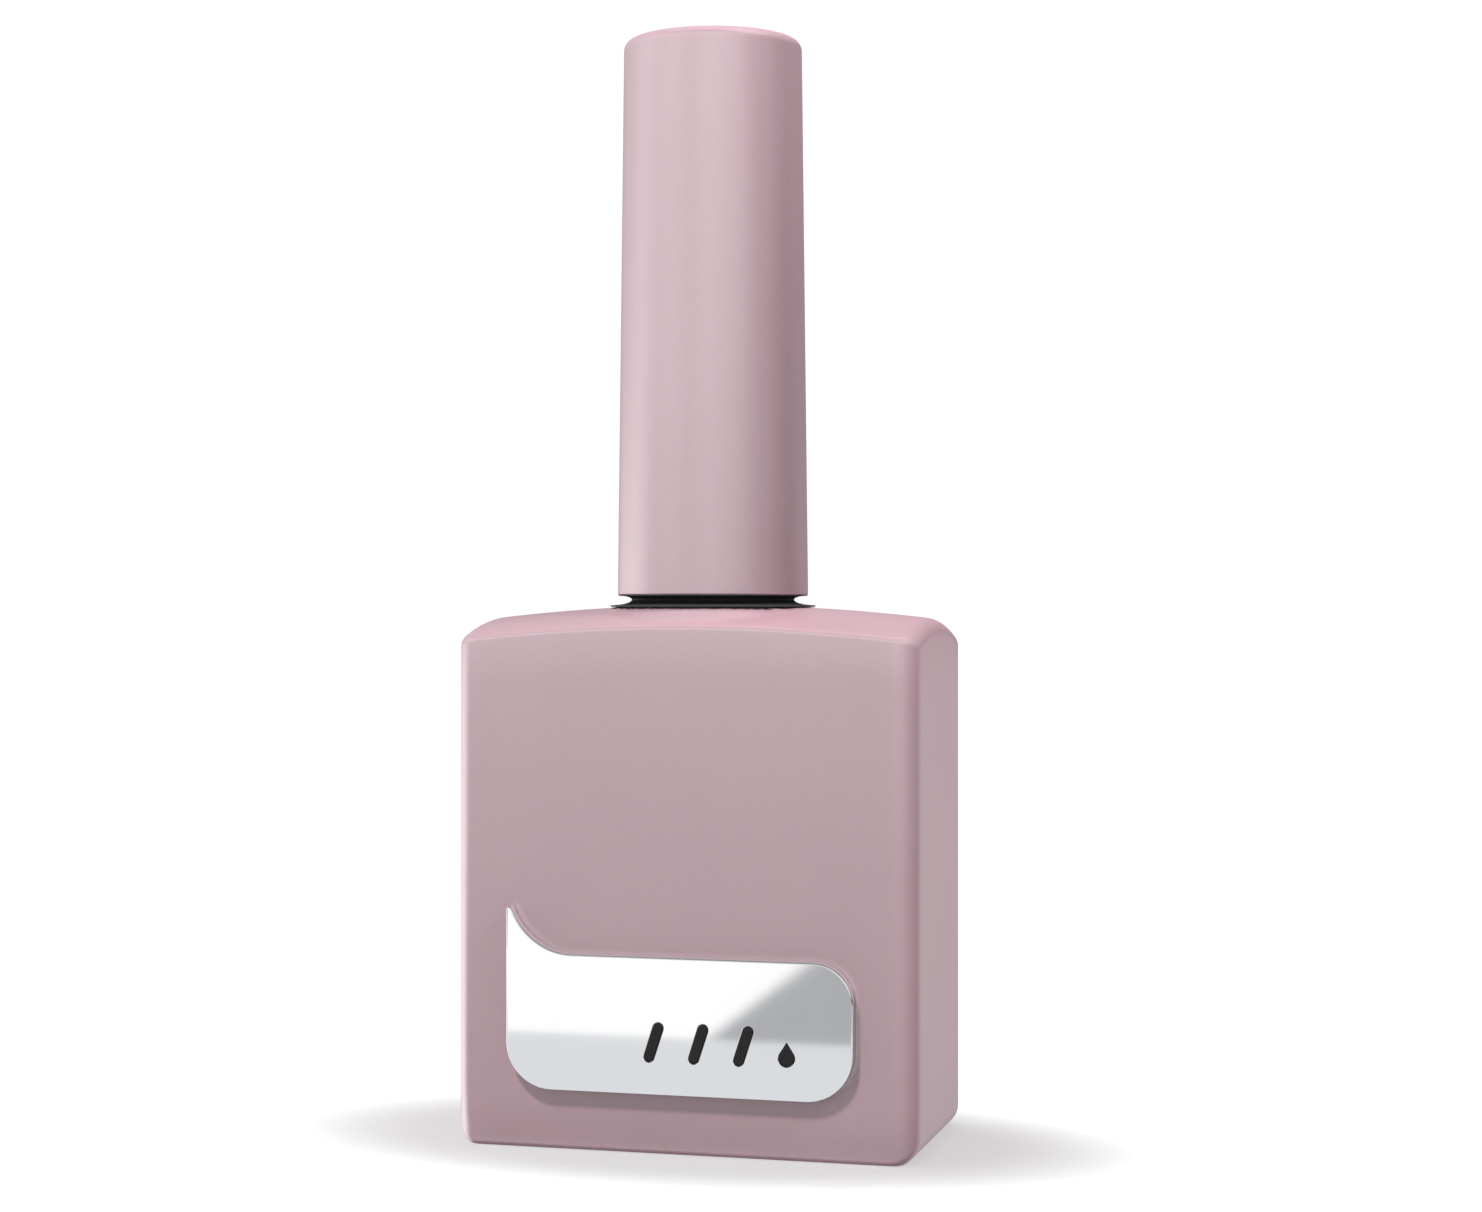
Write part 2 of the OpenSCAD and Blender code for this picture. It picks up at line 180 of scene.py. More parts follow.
class Shell:
    """A closed mesh that grows ring by ring, in millimetres."""

    def __init__(self):
        self.points = []
        self.faces = []
        self.finishes = []
        self.smooth = []

    def ring(self, points):
        first = len(self.points)
        self.points.extend(points)
        return list(range(first, len(self.points)))

    def face(self, corners, finish=0, smooth=True):
        self.faces.append(corners)
        self.finishes.append(finish)
        self.smooth.append(smooth)

    def skin(self, a, b, finish=0):
        """Faces between two rings. A ring of one point closes the other ring to a tip."""
        steps = max(len(a), len(b))
        for i in range(steps):
            j = (i + 1) % steps
            if len(a) == 1:
                self.face((a[0], b[j], b[i]), finish)
            elif len(b) == 1:
                self.face((a[i], a[j], b[0]), finish)
            else:
                self.face((a[i], a[j], b[j], b[i]), finish)

    def loft(self, rings, finish=0, looped=False):
        """Skins a list of rings and returns their points' numbers, the first and the last ring's."""
        made = [self.ring(points) for points in rings]
        for a, b in zip(made, made[1:]):
            self.skin(a, b, finish)
        if looped:
            self.skin(made[-1], made[0], finish)
        return made[0], made[-1]

    def lid(self, ring, finish=0):
        """One flat face over a ring."""
        self.face(tuple(ring), finish, smooth=False)

    def piece(self, name, *materials):
        mesh = bpy.data.meshes.new(name)
        mesh.from_pydata([Vector(p) * MM for p in self.points], [], self.faces)
        mesh.polygons.foreach_set("material_index", self.finishes)
        mesh.polygons.foreach_set("use_smooth", self.smooth)
        for material in materials:
            mesh.materials.append(material)
        outward = bmesh.new()
        outward.from_mesh(mesh)
        bmesh.ops.recalc_face_normals(outward, faces=outward.faces)
        outward.to_mesh(mesh)
        outward.free()
        return into_scene(name, mesh)


def circle(radius, height, steps=ROUND_STEPS):
    """A level ring. The radius may be a function of the angle."""
    points = []
    for i in range(steps):
        a = TURN * i / steps
        r = radius(a) if callable(radius) else radius
        points.append((r * math.cos(a), r * math.sin(a), height))
    return points


def section(corners, looped=False):
    """Points along a half section. Each corner is (distance from the axis, height, rounding)."""
    points = []
    count = len(corners)
    for i, (r, z, rounding) in enumerate(corners):
        here = Vector((r, z))
        if not rounding or not (looped or 0 < i < count - 1):
            points.append((r, z))
            continue
        before = (Vector(corners[i - 1][:2]) - here).normalized()
        after = (Vector(corners[(i + 1) % count][:2]) - here).normalized()
        half = before.angle(after) / 2
        centre = here + (before + after).normalized() * rounding / math.sin(half)
        start = here + before * rounding / math.tan(half)
        end = here + after * rounding / math.tan(half)
        spin = (start - centre).angle_signed(end - centre)
        steps = max(3, round(abs(spin) / (TURN / 32)))
        from_centre = start - centre
        hold = 0.2 * rounding
        points.append(tuple(start + before * hold))
        for k in range(steps + 1):
            a = -spin * k / steps
            points.append((
                centre.x + from_centre.x * math.cos(a) - from_centre.y * math.sin(a),
                centre.y + from_centre.x * math.sin(a) + from_centre.y * math.cos(a),
            ))
        points.append(tuple(end + after * hold))
    return points


def turned(shell, corners, finish=0, looped=False, steps=96):
    """Adds a lathe-turned solid. A section that isn't looped starts and ends on the axis."""
    rings = []
    for r, z in section(corners, looped):
        rings.append([(0, 0, z)] if r == 0 else circle(r, z, steps))
    shell.loft(rings, finish, looped)


def slab(shell, outline, thickness, bevel, place, finish=0):
    """Adds a flat solid with bevelled edges. place turns (across, up, depth) into a point."""
    inner = []
    count = len(outline)
    for i in range(count):
        here = Vector(outline[i])
        before = (Vector(outline[i - 1]) - here).normalized()
        after = (Vector(outline[(i + 1) % count]) - here).normalized()
        out_before = Vector((-before.y, before.x))
        out_after = Vector((after.y, -after.x))
        mid = (out_before + out_after).normalized()
        inner.append(here - mid * bevel / max(0.3, mid.dot(out_after)))
    half = thickness / 2
    layers = [
        (inner, -half), (outline, bevel - half), (outline, half - bevel), (inner, half)
    ]
    rings = [[place(p[0], p[1], depth) for p in line] for line, depth in layers]
    first, last = shell.loft(rings, finish)
    shell.lid(first, finish)
    shell.lid(last, finish)


# Glass forms


def round_rectangle(width, depth, corner):
    """Points round a rectangle with round corners, from the middle of the right side, each with
    its outward direction: (x, y, outward x, outward y)."""
    half_w = width / 2
    half_d = depth / 2
    quarter = []
    for i in range(SIDE_STEPS):
        quarter.append((half_w, (half_d - corner) * i / SIDE_STEPS, 1, 0))
    for i in range(CORNER_STEPS):
        a = TURN / 4 * i / CORNER_STEPS
        out_x = math.cos(a)
        out_y = math.sin(a)
        quarter.append((half_w - corner + corner * out_x, half_d - corner + corner * out_y, out_x, out_y))
    for i in range(FRONT_STEPS + 1):
        quarter.append(((half_w - corner) * (1 - i / FRONT_STEPS), half_d, 0, 1))
    points = []
    for sign_x, sign_y, order in ((1, 1, 1), (-1, 1, -1), (-1, -1, 1), (1, -1, -1)):
        for x, y, out_x, out_y in quarter[::order][:QUARTER]:
            points.append((sign_x * x, sign_y * y, sign_x * out_x, sign_y * out_y))
    return points


def dome(x, y, top, inset=0):
    """Height of the shoulder: an arch side to side, crowned front to back."""
    arch = ARCH_R - inset
    crown = CROWN_R - inset
    reach = arch - crown + math.sqrt(crown * crown - y * y)
    return top - arch + math.sqrt(reach * reach - x * x)


def seated(x, y, top):
    """Height of the shoulder with the seat round the neck, blended softly into the crown."""
    r = math.hypot(x, y)
    seat = top - SEAT_DROP * (min(r, SEAT_R) - CAP_ROOT_R) / (SEAT_R - CAP_ROOT_R)
    seat -= max(0, r - SEAT_R) * SEAT_SLOPE
    low = dome(x, y, top)
    blend = max(0, SEAT_BLEND - abs(seat - low)) / SEAT_BLEND
    return max(seat, low) + blend * blend * SEAT_SOFTNESS


def by_side(out_x, front, side):
    """A rounding that grows from the front and back faces to the sides."""
    return lerp(front, side, out_x * out_x)


def shoulder_rounding(wall, top, front, side, inset=0, steps=8):
    """Rings of the round from an upright wall to the shoulder, from the wall inwards."""
    rings = []
    for k in range(steps + 1):
        ring = []
        for x, y, out_x, out_y in wall:
            r = by_side(out_x, front, side)
            inner = dome(x - out_x * r, y - out_y * r, top, inset)
            further = dome(x - out_x * (r + 0.1), y - out_y * (r + 0.1), top, inset)
            slope = (further - inner) / 0.1
            a = (TURN / 4 - math.atan(slope)) * k / steps
            low = inner - r * math.sqrt(1 + slope * slope)
            back = r * (1 - math.cos(a))
            ring.append((x - out_x * back, y - out_y * back, low + r * math.sin(a)))
        rings.append(ring)
    return rings


def foot_rounding(wall, floor_z, front, side, steps=6):
    """Rings of the round from a level floor out to an upright wall, from the floor outwards."""
    rings = []
    for k in range(steps + 1):
        a = TURN / 4 * (1 - k / steps)
        ring = []
        for x, y, out_x, out_y in wall:
            r = by_side(out_x, front, side)
            back = r * (1 - math.cos(a))
            ring.append((x - out_x * back, y - out_y * back, floor_z + r * (1 - math.sin(a))))
        rings.append(ring)
    return rings


def between(a, b, steps, height=None):
    """Rings between two rings, both left out. height gives a point's height from its place."""
    rings = []
    for k in range(1, steps):
        t = k / steps
        ring = []
        for p, q in zip(a, b):
            x = lerp(p[0], q[0], t)
            y = lerp(p[1], q[1], t)
            ring.append((x, y, height(x, y) if height else lerp(p[2], q[2], t)))
        rings.append(ring)
    return rings


def on_dome(radius, top, inset=0):
    return [(x, y, dome(x, y, top, inset)) for x, y, _ in circle(radius, 0)]


def ridge(angle, height, foot, foot_w, crest_w):
    """How far a helical thread stands up, from 0 to 1, at an angle and a height."""
    best = 0
    for along in (angle, angle + TURN):
        if along > THREAD_SWEEP:
            continue
        away = abs(height - foot - THREAD_LEAD * along / TURN)
        flank = ease((foot_w / 2 - away) / ((foot_w - crest_w) / 2))
        run = ease(min(along, THREAD_SWEEP - along) / THREAD_RUNOUT)
        best = max(best, flank * run)
    return best


THREAD_Z = RIM_Z - THREAD_BELOW_RIM - THREAD_LEAD * THREAD_SWEEP / TURN


def neck_radius(height):
    """Radius of the threaded neck as a function of the angle."""
    return lambda a: NECK_R + THREAD_HEIGHT * ridge(a, height, THREAD_Z, THREAD_FOOT_W, THREAD_CREST_W)


def glass_bottle(coat, clear):
    """One closed glass wall: recessed base, coated body, domed shoulder, threaded neck and cavity."""
    shell = Shell()
    wall = round_rectangle(BODY_W, BODY_D, CORNER_R)
    foot = foot_rounding(wall, 0, FRONT_FOOT_R, SIDE_FOOT_R)
    edge = shoulder_rounding(wall, SHOULDER_Z, FRONT_EDGE_R, SIDE_EDGE_R)
    root = on_dome(NECK_R + NECK_ROOT_R, SHOULDER_Z)

    def top(x, y):
        return seated(x, y, SHOULDER_Z)

    outside = [[(0, 0, RECESS_DEPTH)]]
    for r, z in section(
        [(0, RECESS_DEPTH, 0), (RECESS_R - 0.05, RECESS_DEPTH, 0.12), (RECESS_R + 0.05, 0, 0.12), (9, 0, 0)]
    )[1:-1]:
        outside.append(circle(r, z))
    outside += between(outside[-1], foot[0], 4)
    outside += foot
    outside += between(foot[-1], edge[0], 12)
    outside += edge
    outside += between(edge[-1], root, 16, top)
    outside.append(root)
    root_steps = 5
    for k in range(1, root_steps + 1):
        a = TURN / 4 * k / root_steps
        r = NECK_R + NECK_ROOT_R * (1 - math.sin(a))
        rise = NECK_ROOT_R * (1 - math.cos(a))
        outside.append([(x, y, p[2] + rise) for (x, y, _), p in zip(circle(r, 0), root)])
    _, last = shell.loft(outside, 0)

    neck_foot = SHOULDER_Z + 1
    neck_top = RIM_Z - RIM_ROUND
    neck_steps = 54
    neck = between(outside[-1], circle(NECK_R, neck_foot), 3)
    for k in range(neck_steps + 1):
        z = lerp(neck_foot, neck_top, k / neck_steps)
        neck.append(circle(neck_radius(z), z))
    bore_foot = SHOULDER_Z - GLASS_WALL + MOUTH_ROUND
    for r, z in section([
        (NECK_R, neck_foot, 0), (NECK_R, RIM_Z, RIM_ROUND),
        (BORE_R, RIM_Z, RIM_ROUND), (BORE_R, bore_foot, 0)
    ])[3:]:
        neck.append(circle(r, z))
    cavity_top = SHOULDER_Z - GLASS_WALL
    cavity = round_rectangle(BODY_W - 2 * GLASS_WALL, BODY_D - 2 * GLASS_WALL, CAVITY_CORNER_R)
    mouth_steps = 6
    for k in range(1, mouth_steps + 1):
        a = TURN / 4 * k / mouth_steps
        r = BORE_R + MOUTH_ROUND - MOUTH_ROUND * math.cos(a)
        neck.append([
            (x, y, lerp(bore_foot, dome(x, y, cavity_top, GLASS_WALL), math.sin(a)))
            for x, y, _ in circle(r, 0)
        ])
    shoulder = shoulder_rounding(cavity, cavity_top, CAVITY_EDGE_R / 2, CAVITY_EDGE_R, GLASS_WALL)[::-1]
    low = foot_rounding(cavity, BASE_T, CAVITY_EDGE_R, CAVITY_EDGE_R)[::-1]
    neck += between(neck[-1], shoulder[0], 8, lambda x, y: dome(x, y, cavity_top, GLASS_WALL))
    neck += shoulder
    neck += between(shoulder[-1], low[0], 8)
    neck += low
    neck += between(low[-1], circle(2, BASE_T), 5)
    neck.append(circle(2, BASE_T))
    neck.append([(0, 0, BASE_T)])
    first, _ = shell.loft(neck, 1)
    shell.skin(last, first, 1)
    return shell.piece("coated_glass_bottle", coat, clear)


def gel_polish(gel):
    """The contents: they fill the cavity up to a level that creeps up the glass at its edge."""
    shell = Shell()
    gap = 0.02
    creep = 0.6
    cavity = round_rectangle(
        BODY_W - 2 * GLASS_WALL - 2 * gap, BODY_D - 2 * GLASS_WALL - 2 * gap, CAVITY_CORNER_R - gap
    )
    low = foot_rounding(cavity, BASE_T + gap, CAVITY_EDGE_R, CAVITY_EDGE_R)
    level = FILL_Z - creep
    rim = [(x, y, FILL_Z) for x, y, _, _ in cavity]
    rings = [[(0, 0, BASE_T + gap)], circle(2, BASE_T + gap)]
    rings += between(rings[-1], low[0], 5)
    rings += low
    rings += between(low[-1], rim, 6)
    rings.append(rim)
    for back, rise in ((0.12, 0.82), (0.3, 0.55), (0.6, 0.28), (1.1, 0.08), (1.9, 0)):
        rings.append([
            (x - out_x * back, y - out_y * back, level + creep * rise)
            for x, y, out_x, out_y in cavity
        ])
    rings += between(rings[-1], circle(2.4, level), 5)
    for r, rise in ((2.4, 0.02), (2, 0.12), (1.8, 0.3)):
        rings.append(circle(r, level + creep * rise))
    rings.append([(0, 0, level + creep * 0.3)])
    shell.loft(rings)
    return shell.piece("gel_polish_contents", gel)


def mixing_ball(side, steel):
    """A polished ball with the small flats that tumbling leaves on it."""
    low, high = extent("mixing_ball_" + side)
    centre = (low + high) / 2
    radius = (high.x - low.x) / 2
    ball = bmesh.new()
    bmesh.ops.create_icosphere(ball, subdivisions=5, radius=radius)
    for vertex in ball.verts:
        dent = noise.noise(vertex.co * 1.3 + centre) * 0.006
        vertex.co = (vertex.co * (1 - 0.004 - abs(dent)) + centre) * MM
    for face in ball.faces:
        face.smooth = True
    mesh = bpy.data.meshes.new("mixing_ball_steel_" + side)
    ball.to_mesh(mesh)
    ball.free()
    mesh.materials.append(steel)
    return into_scene(mesh.name, mesh)


def base_label(paper):
    """A blank round sticker whose rim is pressed a little flatter than its middle."""
    low, high = extent("base_label")
    radius = high.x
    shell = Shell()
    turned(shell, [
        (0, high.z, 0), (radius, high.z, 0.02), (radius, low.z + 0.02, 0.02),
        (radius - 0.5, low.z, 0.3), (0, low.z, 0)
    ], steps=128)
    return shell.piece("blank_base_label", paper)


# Name plate


def arc(centre, radius, start, end, facing=1, steps=12):
    """Points of an arc with their outward directions. facing is -1 for a hollow curve."""
    points = []
    for k in range(steps + 1):
        a = lerp(start, end, k / steps)
        out = (math.cos(a), math.sin(a))
        points.append((
            centre[0] + radius * out[0], centre[1] + radius * out[1], facing * out[0], facing * out[1]
        ))
    return points


def plate_outline():
    """Front view of the plate, (across, up, outward across, outward up), from its lower left."""
    low, high = extent("name_plate")
    left, right, foot = low.x, high.x, low.z
    top = high.z - POINT_H
    tip = (left + POINT_TIP_R, high.z - POINT_TIP_R)
    drop = POINT_CURVE_R - (tip[1] - top)
    run = math.sqrt((POINT_CURVE_R + POINT_TIP_R) ** 2 - drop ** 2)
    hollow = (tip[0] + run, top + POINT_CURVE_R)
    lean = math.atan2(drop, run)
    low_r, top_r = PLATE_LOW_R, PLATE_TOP_R
    return (
        arc((left + low_r, foot + low_r), low_r, TURN / 2, TURN * 3 / 4)
        + arc((right - low_r, foot + low_r), low_r, -TURN / 4, 0)
        + arc((right - top_r, top - top_r), top_r, 0, TURN / 4)
        + arc(hollow, POINT_CURVE_R, TURN * 3 / 4, TURN / 2 + lean, facing=-1)
        + arc(tip, POINT_TIP_R, lean, TURN / 2, steps=8)[1:]
    )


def stroke_outline(number):
    """A slanting stroke with round ends."""
    foot = extent("name_plate")[0].z
    centre = Vector((STROKE_MID_X + number * STROKE_PITCH, foot + STROKE_MID_UP))
    up = Vector((math.sin(STROKE_SLANT), math.cos(STROKE_SLANT))) * (STROKE_H - STROKE_W) / 2
    lean = -STROKE_SLANT
    return (
        arc(centre + up, STROKE_W / 2, lean, lean + TURN / 2, steps=10)
        + arc(centre - up, STROKE_W / 2, lean + TURN / 2, lean + TURN, steps=10)
    )


def drop_outline():
    """A drop with its point upwards."""
    low, high = extent("mark_drop")
    centre = ((low.x + high.x) / 2, low.z + DROP_R)
    points = arc(centre, DROP_R, -TURN * 7 / 12, TURN / 12, steps=16)
    points.append((centre[0], centre[1] + 2 * DROP_R - 0.04, 0, 1))
    return points


def moved(outline, outward, y):
    return [(x + out_x * outward, y, z + out_z * outward) for x, z, out_x, out_z in outline]


def name_plate(metal, marks):
    """A polished plate with rounded edges, and a bevelled pocket for each enamel mark."""
    low, high = extent("name_plate")
    outline = plate_outline()
    shell = Shell()
    back = [moved(outline, -0.06, high.y), moved(outline, 0, high.y - 0.06)]
    rings = back
    bevel_steps = 4
    for k in range(bevel_steps + 1):
        a = TURN / 4 * k / bevel_steps
        rings.append(moved(
            outline, -PLATE_BEVEL * (1 - math.cos(a)), low.y + PLATE_BEVEL * (1 - math.sin(a))
        ))
    first, edge = shell.loft(rings)
    shell.lid(first)
    loops = [edge]
    for mark in marks:
        wide, floor = shell.loft([
            moved(mark, POCKET_BEVEL, low.y),
            moved(mark, 0, low.y + POCKET_BEVEL),
            moved(mark, 0, low.y + ENAMEL_DEPTH),
        ])
        shell.lid(floor)
        loops.append(wide)
    numbers = [n for loop in loops for n in loop]
    outlines = [[Vector((shell.points[n][0], shell.points[n][2], 0)) for n in loop] for loop in loops]
    for triangle in geometry.tessellate_polygon(outlines):
        shell.face(tuple(numbers[n] for n in triangle), smooth=False)
    return shell.piece("mirror_name_plate", metal)


def enamel(name, marks, black):
    """Enamel that fills its pockets, drawn down a little at the edges as it dried."""
    front = extent("name_plate")[0].y
    shell = Shell()
    for mark in marks:
        first, last = shell.loft([
            moved(mark, -0.01, front + ENAMEL_DEPTH - 0.005),
            moved(mark, -0.01, front + POCKET_BEVEL),
            moved(mark, -0.03, front + 0.035),
            moved(mark, -0.09, front + 0.012),
            moved(mark, -0.16, front + 0.004),
        ])
        shell.lid(first)
        shell.lid(last)
    return shell.piece(name, black)


def plate_adhesive(foam):
    """The thin foam pad behind the plate, with a slightly ragged cut edge."""
    low, high = extent("plate_adhesive")
    r = PLATE_LOW_R - 0.8
    outline = (
        arc((low.x + r, low.z + r), r, TURN / 2, TURN * 3 / 4)
        + arc((high.x - r, low.z + r), r, -TURN / 4, 0)
        + arc((high.x - r, high.z - r), r, 0, TURN / 4)
        + arc((low.x + r, high.z - r), r, TURN / 4, TURN / 2)
    )
    ragged = []
    for k, (x, z, out_x, out_z) in enumerate(outline):
        cut = 0.05 * abs(noise.noise(Vector((x, z, k))))
        ragged.append((x - out_x * cut, z - out_z * cut, out_x, out_z))
    shell = Shell()
    first, last = shell.loft([
        moved(ragged, -0.04, high.y), moved(ragged, 0, high.y - 0.03),
        moved(ragged, 0, low.y + 0.03), moved(ragged, -0.04, low.y)
    ])
    shell.lid(first)
    shell.lid(last)
    return shell.piece("foam_adhesive_pad", foam)


# Cap


OVERCAP = extent("overcap")
INNER_CAP = extent("inner_cap")
OVERCAP_FOOT_R = OVERCAP[1].x
OVERCAP_TAPER = OVERCAP_DRAW / (OVERCAP[1].z - OVERCAP[0].z)
ROOF_Z = extent("seal_liner")[1].z
ROOF_T = 1


def overcap_radius(z):
    return OVERCAP_FOOT_R - OVERCAP_TAPER * (z - OVERCAP[0].z)


def overcap(coat):
    """The tall tapered shell, open below, with rounded edges and a barely crowned top."""
    foot, top = OVERCAP[0].z, OVERCAP[1].z
    under = top - OVERCAP_TOP_T
    bore_foot = overcap_radius(foot) - OVERCAP_WALL
    bore_top = overcap_radius(under) - OVERCAP_WALL
    shell = Shell()
    turned(shell, [
        (0, top, 0), (overcap_radius(top), top, OVERCAP_EDGE_R),
        (overcap_radius(foot), foot, 0.12), (bore_foot, foot, 0.1), (bore_top, under, 0.5), (0, under, 0)
    ], steps=192)
    return shell.piece("tapered_overcap", coat)


def cap_bore(height):
    """Radius of the inner cap's threaded bore as a function of the angle."""
    foot = THREAD_Z - CAP_THREAD_DROP
    depth = CAP_ROOT_R - CAP_CREST_R
    return lambda a: CAP_ROOT_R - depth * ridge(a, height, foot, CAP_THREAD_FOOT_W, CAP_THREAD_CREST_W)


def skirt_radius(z):
    """Radius of the ribbed skirt at a height, as a function of the angle."""
    valley = overcap_radius(z) - OVERCAP_WALL - RIB_H

    def radius(a):
        pitch = TURN / RIB_COUNT
        away = abs((a + pitch / 2) % pitch - pitch / 2) * valley
        return valley + (RIB_H - 0.02) * ease((RIB_W / 2 + 0.15 - away) / 0.3)

    return radius


def inner_cap(plastic):
    """The moulded insert: waisted collar, ribbed skirt with a thread inside, stem tube and fins."""
    steps = 192
    low = INNER_CAP[0].z
    foot = low + FOOT_DROOP
    foot_r = INNER_CAP[1].x
    seat = OVERCAP[0].z
    skirt_top = ROOF_Z + ROOF_T
    tube_top = skirt_top + SOCKET_H
    waist_z = lerp(foot, seat, 0.5)
    shell = Shell()
    rings = [circle(r, z, steps) for r, z in section([
        (CAP_ROOT_R, foot + 1, 0), (CAP_ROOT_R, foot, 0.05),
        (foot_r - 0.05, low, 0.04), (foot_r, low + 0.1, 0)
    ])[1:]]
    flare_steps = 12
    for k in range(1, flare_steps + 1):
        a = TURN / 4 * (1 - k / flare_steps)
        r = foot_r - (foot_r - WAIST_R) * math.cos(a)
        rings.append(circle(r, waist_z - (waist_z - low - 0.14) * math.sin(a), steps))
    lip_r = OVERCAP_FOOT_R - 0.04
    for k in range(1, flare_steps + 1):
        a = TURN / 4 * k / flare_steps
        r = lip_r - (lip_r - WAIST_R) * math.cos(a)
        rings.append(circle(r, waist_z + (seat - LIP_T - waist_z) * math.sin(a), steps))
    rings.append(circle(lip_r, seat - 0.02, steps))
    rings.append(circle(lip_r - 0.03, seat, steps))
    rings.append(circle(OVERCAP_FOOT_R - OVERCAP_WALL, seat, steps))
    for k in range(5):
        z = lerp(seat + 0.05, skirt_top - 0.3, k / 4)
        rings.append(circle(skirt_radius(z), z, steps))
    rings.append(circle(overcap_radius(skirt_top) - OVERCAP_WALL - RIB_H - 0.2, skirt_top, steps))
    for r, z in section([
        (TUBE_R + 2, skirt_top, 0), (TUBE_R, skirt_top, 0.4), (TUBE_R, tube_top, 0.2),
        (SOCKET_R, tube_top, 0.15), (SOCKET_R, ROOF_Z, 0.1),
        (CAP_ROOT_R, ROOF_Z, 0.3), (CAP_ROOT_R, ROOF_Z - 1, 0)
    ])[1:-1]:
        rings.append(circle(r, z, steps))
    bore_steps = 64
    for k in range(1, bore_steps + 1):
        z = lerp(ROOF_Z - 0.6, foot + 0.1, k / bore_steps)
        rings.append(circle(cap_bore(z), z, steps))
    shell.loft(rings, looped=True)
    fin_top = INNER_CAP[1].z

    def fin_edge(z):
        return overcap_radius(z) - OVERCAP_WALL - 0.06

    fin_foot = skirt_top - 0.3
    over_tube = tube_top + 0.25
    outline = [
        (TUBE_R - 0.3, fin_foot), (fin_edge(fin_foot), fin_foot), (fin_edge(fin_top), fin_top),
        (-0.3, fin_top), (-0.3, over_tube), (TUBE_R - 0.3, over_tube)
    ]
    for quarter in range(4):
        a = TURN / 4 * quarter
        out, across = (math.cos(a), math.sin(a)), (-math.sin(a), math.cos(a))
        slab(shell, outline, FIN_T, 0.12, lambda r, z, d: (
            out[0] * r + across[0] * d, out[1] * r + across[1] * d, z
        ))
    return shell.piece("moulded_inner_cap", plastic)


def seal_liner(foam):
    """A soft ring with pressed edges, dented where the rim bears on it."""
    low, high = extent("seal_liner")
    hole = extent("brush_stem")[1].x + 0.25
    mid = (NECK_R + BORE_R) / 2
    shell = Shell()
    turned(shell, [
        (hole, low.z, 0.15), (mid - 0.8, low.z, 0.1), (mid - 0.55, low.z + 0.05, 0.1),
        (mid + 0.45, low.z + 0.05, 0.1), (mid + 0.7, low.z, 0.1), (high.x, low.z, 0.12),
        (high.x, high.z, 0.2), (hole, high.z, 0.2)
    ], looped=True, steps=128)
    return shell.piece("seal_liner_ring", foam)


def brush_stem(plastic):
    """A tapered stem with moulded steps, a plug above and the bristles' socket below."""
    low, high = extent("brush_stem")
    top_r = high.x - 0.015
    tip_r = STEM_TIP_R
    step_z = lerp(low.z, ROOF_Z, 0.93)
    step_r = lerp(tip_r, top_r, 0.93)
    shell = Shell()
    turned(shell, [
        (0, high.z, 0), (top_r - 0.15, high.z, 0.25), (top_r, high.z - 1.5, 1),
        (top_r, ROOF_Z, 1), (step_r + 0.02, step_z, 0.3), (step_r - 0.07, step_z - 0.35, 0.3),
        (step_r - 0.02, step_z - 0.7, 0.3), (tip_r, low.z + 0.5, 0.5), (tip_r - 0.08, low.z, 0.12),
        (BRISTLE_SOCKET_R, low.z, 0.06), (BRISTLE_SOCKET_R, low.z + BRISTLE_SOCKET_H, 0.1),
        (0, low.z + BRISTLE_SOCKET_H, 0)
    ])
    return shell.piece("moulded_brush_stem", plastic)


def staple(metal):
    """A bent flat-wire anchor that holds the tuft in the stem."""
    low, high = extent("tuft_anchor")
    leg = 0.4
    crown = 0.5
    outline = [
        (low.x, low.z), (low.x + leg, low.z), (low.x + leg, high.z - crown),
        (high.x - leg, high.z - crown), (high.x - leg, low.z), (high.x, low.z),
        (high.x, high.z - 0.15), (high.x - 0.15, high.z), (low.x + 0.15, high.z), (low.x, high.z - 0.15)
    ]
    shell = Shell()
    slab(shell, outline, high.y - low.y, 0.05, lambda x, z, d: (x, d, z))
    return shell.piece("wire_staple", metal)


